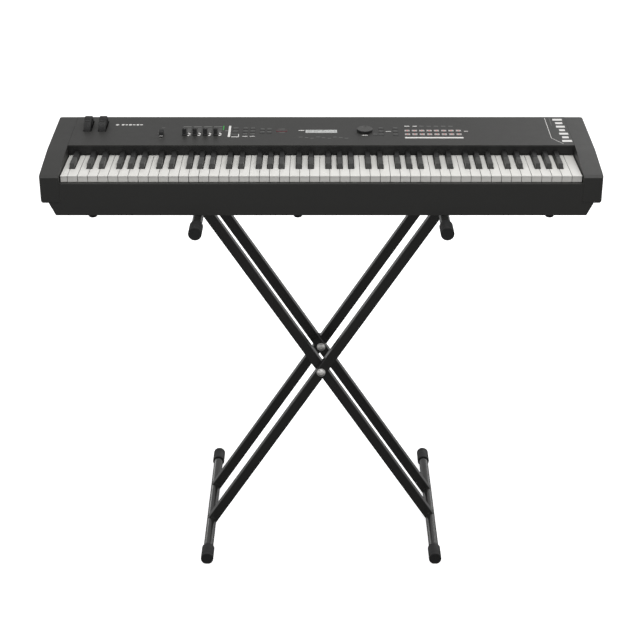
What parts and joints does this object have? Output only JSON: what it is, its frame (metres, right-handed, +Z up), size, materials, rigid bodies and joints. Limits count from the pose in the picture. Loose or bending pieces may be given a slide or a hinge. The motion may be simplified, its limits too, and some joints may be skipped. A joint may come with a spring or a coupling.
{
  "type": "digital piano on stand",
  "caption": "Full-size digital piano with a sloping control panel and full keyboard, resting on a folding double X-stand of black steel tube.",
  "frame": {"origin": "on the floor, under the middle of the object", "axes": "+X to the player's right along the keyboard, +Y away from the player, +Z up"},
  "size_m": [1.318, 0.5386, 1.0732],
  "materials": {
    "black_paint": "satin black powder coat",
    "black_rubber": "matt moulded",
    "zinc_steel": "bright zinc plate",
    "case_plastic": "fine texture",
    "panel_plastic": "fine texture, dark grey",
    "white_key": "semi-gloss",
    "black_key": "matt",
    "control_plastic": "matt",
    "button_rubber": "matt",
    "circuit_board": "solder mask",
    "screen": "clear window over a grey screen"
  },
  "bodies": {
    "floor_stand": {"left_floor_rail": "black_paint", "left_floor_cap_front": "black_rubber", "left_floor_cap_rear": "black_rubber"},
    "outer_frame": {"outer_front_tube": "black_paint", "outer_rear_tube": "black_paint", "front_pivot_bolt": "zinc_steel", "rear_pivot_bolt": "zinc_steel", "front_pivot_nut": "zinc_steel"},
    "inner_frame": {"inner_front_tube": "black_paint", "inner_rear_tube": "black_paint", "right_floor_rail": "black_paint", "right_floor_cap_front": "black_rubber", "right_floor_cap_rear": "black_rubber", "left_top_arm": "black_paint", "left_arm_cap_front": "black_rubber", "left_arm_cap_rear": "black_rubber"},
    "right_support": {"right_top_arm": "black_paint", "right_arm_cap_front": "black_rubber", "right_arm_cap_rear": "black_rubber"},
    "piano": {"lower_case": "case_plastic", "upper_case": "panel_plastic", "left_cheek": "panel_plastic", "right_cheek": "panel_plastic", "key_frame": "case_plastic", "contact_board": "circuit_board", "main_board": "circuit_board", "display": "screen", "wheel_bracket": "zinc_steel", "foot_front_left": "black_rubber", "foot_front_middle": "black_rubber", "foot_front_right": "black_rubber", "foot_rear_left": "black_rubber", "foot_rear_right": "black_rubber"},
    "lock_knob": {"rear_lock_knob": "black_rubber"},
    "pitch_wheel": {"pitch_wheel": "control_plastic"},
    "mod_wheel": {"mod_wheel": "control_plastic"},
    "volume_slider": {"volume_slider": "control_plastic"},
    "assign_knob_1": {"assign_knob_1": "control_plastic"},
    "assign_knob_2": {"assign_knob_2": "control_plastic"},
    "assign_knob_3": {"assign_knob_3": "control_plastic"},
    "assign_knob_4": {"assign_knob_4": "control_plastic"},
    "data_dial": {"data_dial": "button_rubber"},
    "function_buttons": {"function_buttons": "button_rubber"},
    "navigation_buttons": {"navigation_buttons": "button_rubber"},
    "category_buttons": {"category_buttons": "button_rubber"},
    "power_switch": {"power_switch": "control_plastic"},
    "white_keys_1": {"white_keys_1": "white_key"},
    "black_keys_1": {"black_keys_1": "black_key"},
    "white_keys_2": {"white_keys_2": "white_key"},
    "black_keys_2": {"black_keys_2": "black_key"},
    "white_keys_3": {"white_keys_3": "white_key"},
    "black_keys_3": {"black_keys_3": "black_key"},
    "white_keys_4": {"white_keys_4": "white_key"},
    "black_keys_4": {"black_keys_4": "black_key"},
    "white_keys_5": {"white_keys_5": "white_key"},
    "black_keys_5": {"black_keys_5": "black_key"},
    "white_keys_6": {"white_keys_6": "white_key"},
    "black_keys_6": {"black_keys_6": "black_key"},
    "white_keys_7": {"white_keys_7": "white_key"},
    "black_keys_7": {"black_keys_7": "black_key"}
  },
  "joints": [
    {"name": "stand_fold", "type": "hinge", "parent": "floor_stand", "child": "outer_frame", "pos_m": [-0.292, 0, 0.0147], "axis": [0, -1, 0], "range_deg": [0, 24]},
    {"name": "cross_pivot", "type": "hinge", "parent": "outer_frame", "child": "inner_frame", "pos_m": [0, 0, 0.4611], "axis": [0, -1, 0], "range_deg": [-48, 0]},
    {"name": "arm_level", "type": "hinge", "parent": "outer_frame", "child": "right_support", "pos_m": [0.292, 0, 0.9075], "axis": [0, -1, 0], "range_deg": [-24, 0]},
    {"name": "piano_slide", "type": "slide", "parent": "right_support", "child": "piano", "axis": [1, 0, 0], "range_m": [0, 0.2069]},
    {"name": "lock_knob_turn", "type": "hinge", "parent": "outer_frame", "child": "lock_knob", "pos_m": [0, 0.1, 0.4611], "axis": [0, -1, 0], "range_deg": [0, 360]},
    {"name": "pitch_bend", "type": "hinge", "parent": "piano", "child": "pitch_wheel", "pos_m": [-0.578, 0.10487, 1.03875], "axis": [-1, 0, 0], "range_deg": [-35, 35], "stiffness_Nm_per_rad": 0.25},
    {"name": "modulation", "type": "hinge", "parent": "piano", "child": "mod_wheel", "pos_m": [-0.5417, 0.10487, 1.03875], "axis": [-1, 0, 0], "range_deg": [0, 60]},
    {"name": "volume_travel", "type": "slide", "parent": "piano", "child": "volume_slider", "axis": [0, 0.9975, 0.0702], "range_m": [-0.0115, 0.0345]},
    {"name": "assign_1_turn", "type": "hinge", "parent": "piano", "child": "assign_knob_1", "pos_m": [-0.3358, 0.04834, 1.0443], "axis": [0, -0.0702, 0.9975], "range_deg": [-150, 150]},
    {"name": "assign_2_turn", "type": "hinge", "parent": "piano", "child": "assign_knob_2", "pos_m": [-0.3104, 0.04834, 1.0443], "axis": [0, -0.0702, 0.9975], "range_deg": [-150, 150]},
    {"name": "assign_3_turn", "type": "hinge", "parent": "piano", "child": "assign_knob_3", "pos_m": [-0.2849, 0.04834, 1.0443], "axis": [0, -0.0702, 0.9975], "range_deg": [-150, 150]},
    {"name": "assign_4_turn", "type": "hinge", "parent": "piano", "child": "assign_knob_4", "pos_m": [-0.2595, 0.04834, 1.0443], "axis": [0, -0.0702, 0.9975], "range_deg": [-150, 150]},
    {"name": "data_turn", "type": "hinge", "parent": "piano", "child": "data_dial", "pos_m": [0.1077, 0.07278, 1.04601], "axis": [0, -0.0702, 0.9975], "continuous": true},
    {"name": "function_press", "type": "slide", "parent": "piano", "child": "function_buttons", "axis": [0, 0.0702, -0.9975], "range_m": [0, 0.0008], "stiffness_N_per_m": 2000, "springref_m": -0.0005},
    {"name": "navigation_press", "type": "slide", "parent": "piano", "child": "navigation_buttons", "axis": [0, 0.0702, -0.9975], "range_m": [0, 0.0008], "stiffness_N_per_m": 2000, "springref_m": -0.0005},
    {"name": "category_press", "type": "slide", "parent": "piano", "child": "category_buttons", "axis": [0, 0.0702, -0.9975], "range_m": [0, 0.0008], "stiffness_N_per_m": 2000, "springref_m": -0.0005},
    {"name": "power_rock", "type": "hinge", "parent": "piano", "child": "power_switch", "pos_m": [0.56, 0.1624, 0.9935], "axis": [-1, 0, 0], "range_deg": [0, 12]},
    {"name": "white_press_1", "type": "hinge", "parent": "piano", "child": "white_keys_1", "pos_m": [0, 0.049, 1.0035], "axis": [1, 0, 0], "range_deg": [0, 2.7], "stiffness_Nm_per_rad": 8, "springref_deg": -8.59},
    {"name": "black_press_1", "type": "hinge", "parent": "piano", "child": "black_keys_1", "pos_m": [0, 0.049, 1.0035], "axis": [1, 0, 0], "range_deg": [0, 2.7], "stiffness_Nm_per_rad": 5, "springref_deg": -8.59},
    {"name": "white_press_2", "type": "hinge", "parent": "piano", "child": "white_keys_2", "pos_m": [0, 0.049, 1.0035], "axis": [1, 0, 0], "range_deg": [0, 2.7], "stiffness_Nm_per_rad": 8, "springref_deg": -8.59},
    {"name": "black_press_2", "type": "hinge", "parent": "piano", "child": "black_keys_2", "pos_m": [0, 0.049, 1.0035], "axis": [1, 0, 0], "range_deg": [0, 2.7], "stiffness_Nm_per_rad": 5, "springref_deg": -8.59},
    {"name": "white_press_3", "type": "hinge", "parent": "piano", "child": "white_keys_3", "pos_m": [0, 0.049, 1.0035], "axis": [1, 0, 0], "range_deg": [0, 2.7], "stiffness_Nm_per_rad": 8, "springref_deg": -8.59},
    {"name": "black_press_3", "type": "hinge", "parent": "piano", "child": "black_keys_3", "pos_m": [0, 0.049, 1.0035], "axis": [1, 0, 0], "range_deg": [0, 2.7], "stiffness_Nm_per_rad": 5, "springref_deg": -8.59},
    {"name": "white_press_4", "type": "hinge", "parent": "piano", "child": "white_keys_4", "pos_m": [0, 0.049, 1.0035], "axis": [1, 0, 0], "range_deg": [0, 2.7], "stiffness_Nm_per_rad": 8, "springref_deg": -8.59},
    {"name": "black_press_4", "type": "hinge", "parent": "piano", "child": "black_keys_4", "pos_m": [0, 0.049, 1.0035], "axis": [1, 0, 0], "range_deg": [0, 2.7], "stiffness_Nm_per_rad": 5, "springref_deg": -8.59},
    {"name": "white_press_5", "type": "hinge", "parent": "piano", "child": "white_keys_5", "pos_m": [0, 0.049, 1.0035], "axis": [1, 0, 0], "range_deg": [0, 2.7], "stiffness_Nm_per_rad": 8, "springref_deg": -8.59},
    {"name": "black_press_5", "type": "hinge", "parent": "piano", "child": "black_keys_5", "pos_m": [0, 0.049, 1.0035], "axis": [1, 0, 0], "range_deg": [0, 2.7], "stiffness_Nm_per_rad": 5, "springref_deg": -8.59},
    {"name": "white_press_6", "type": "hinge", "parent": "piano", "child": "white_keys_6", "pos_m": [0, 0.049, 1.0035], "axis": [1, 0, 0], "range_deg": [0, 2.7], "stiffness_Nm_per_rad": 8, "springref_deg": -8.59},
    {"name": "black_press_6", "type": "hinge", "parent": "piano", "child": "black_keys_6", "pos_m": [0, 0.049, 1.0035], "axis": [1, 0, 0], "range_deg": [0, 2.7], "stiffness_Nm_per_rad": 5, "springref_deg": -8.59},
    {"name": "white_press_7", "type": "hinge", "parent": "piano", "child": "white_keys_7", "pos_m": [0, 0.049, 1.0035], "axis": [1, 0, 0], "range_deg": [0, 2.7], "stiffness_Nm_per_rad": 8, "springref_deg": -8.59},
    {"name": "black_press_7", "type": "hinge", "parent": "piano", "child": "black_keys_7", "pos_m": [0, 0.049, 1.0035], "axis": [1, 0, 0], "range_deg": [0, 2.7], "stiffness_Nm_per_rad": 5, "springref_deg": -8.59}
  ],
  "couplings": [
    {"joint": "cross_pivot", "follows": "stand_fold", "ratio": -2},
    {"joint": "arm_level", "follows": "stand_fold", "ratio": -1},
    {"joint": "piano_slide", "follows": "stand_fold", "m_per_rad": 0.49373}
  ]
}
